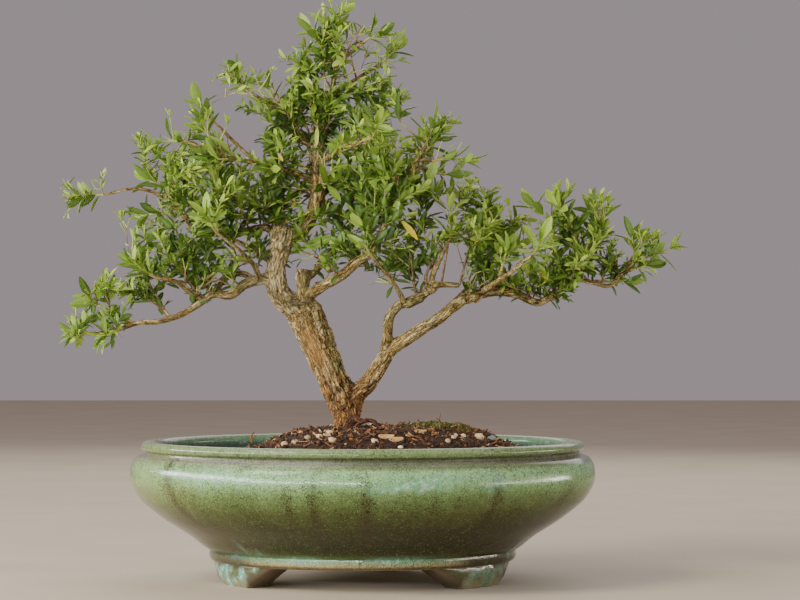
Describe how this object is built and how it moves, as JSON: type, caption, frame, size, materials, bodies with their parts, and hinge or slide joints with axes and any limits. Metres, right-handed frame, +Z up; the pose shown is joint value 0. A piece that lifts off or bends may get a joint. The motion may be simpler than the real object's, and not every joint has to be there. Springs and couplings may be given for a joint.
{
  "type": "serissa bonsai in round glazed pot",
  "caption": "Small serissa bonsai with a forked flaky trunk and leafy sprays, planted in a round green glazed bowl on bracket feet.",
  "frame": {"origin": "on the surface that the feet stand on, under the middle of the bounding box, 2 mm from the pot's own axis", "axes": "+Z up; +X to the right of the tree's front, along the long side of its crown; the front faces -Y"},
  "size_m": [0.3546, 0.2608, 0.3305],
  "materials": {
    "pot_glaze": "gloss",
    "potting_soil": "matte",
    "drain_screen": "matte",
    "bark": "matte",
    "leaf": "satin"
  },
  "bodies": {
    "root": {"drain_screen_left": "drain_screen", "drain_screen_right": "drain_screen", "leaf_spray_01": "leaf", "leaf_spray_02": "leaf", "leaf_spray_03": "leaf", "leaf_spray_04": "leaf", "leaf_spray_05": "leaf", "leaf_spray_06": "leaf", "leaf_spray_07": "leaf", "leaf_spray_08": "leaf", "leaf_spray_09": "leaf", "leaf_spray_10": "leaf", "leaf_spray_11": "leaf", "leaf_spray_12": "leaf", "leaf_spray_13": "leaf", "leaf_spray_14": "leaf", "leaf_spray_15": "leaf", "leaf_spray_16": "leaf", "leaf_spray_17": "leaf", "leaf_spray_18": "leaf", "leaf_spray_19": "leaf", "leaf_spray_20": "leaf", "leaf_spray_21": "leaf", "leaf_spray_22": "leaf", "leaf_spray_23": "leaf", "leaf_spray_24": "leaf", "leaf_spray_25": "leaf", "leaf_spray_26": "leaf", "leaf_spray_27": "leaf", "leaf_spray_28": "leaf", "leaf_spray_29": "leaf", "leaf_spray_31": "leaf", "leaf_spray_32": "leaf", "leaf_spray_33": "leaf", "leaf_spray_34": "leaf", "leaf_spray_35": "leaf", "leaf_spray_36": "leaf", "leaf_spray_37": "leaf", "leaf_spray_38": "leaf", "leaf_spray_39": "leaf", "leaf_spray_41": "leaf", "leaf_spray_42": "leaf", "leaf_spray_43": "leaf", "leaf_spray_44": "leaf", "leaf_spray_45": "leaf", "leaf_spray_46": "leaf", "leaf_spray_47": "leaf", "leaf_spray_48": "leaf", "leaf_spray_49": "leaf", "leaf_spray_50": "leaf", "leaf_spray_51": "leaf", "leaf_spray_52": "leaf", "leaf_spray_53": "leaf", "leaf_spray_54": "leaf", "leaf_spray_55": "leaf", "pot": "pot_glaze", "soil": "potting_soil", "trunk_and_branches": "bark"}
  },
  "joints": []
}
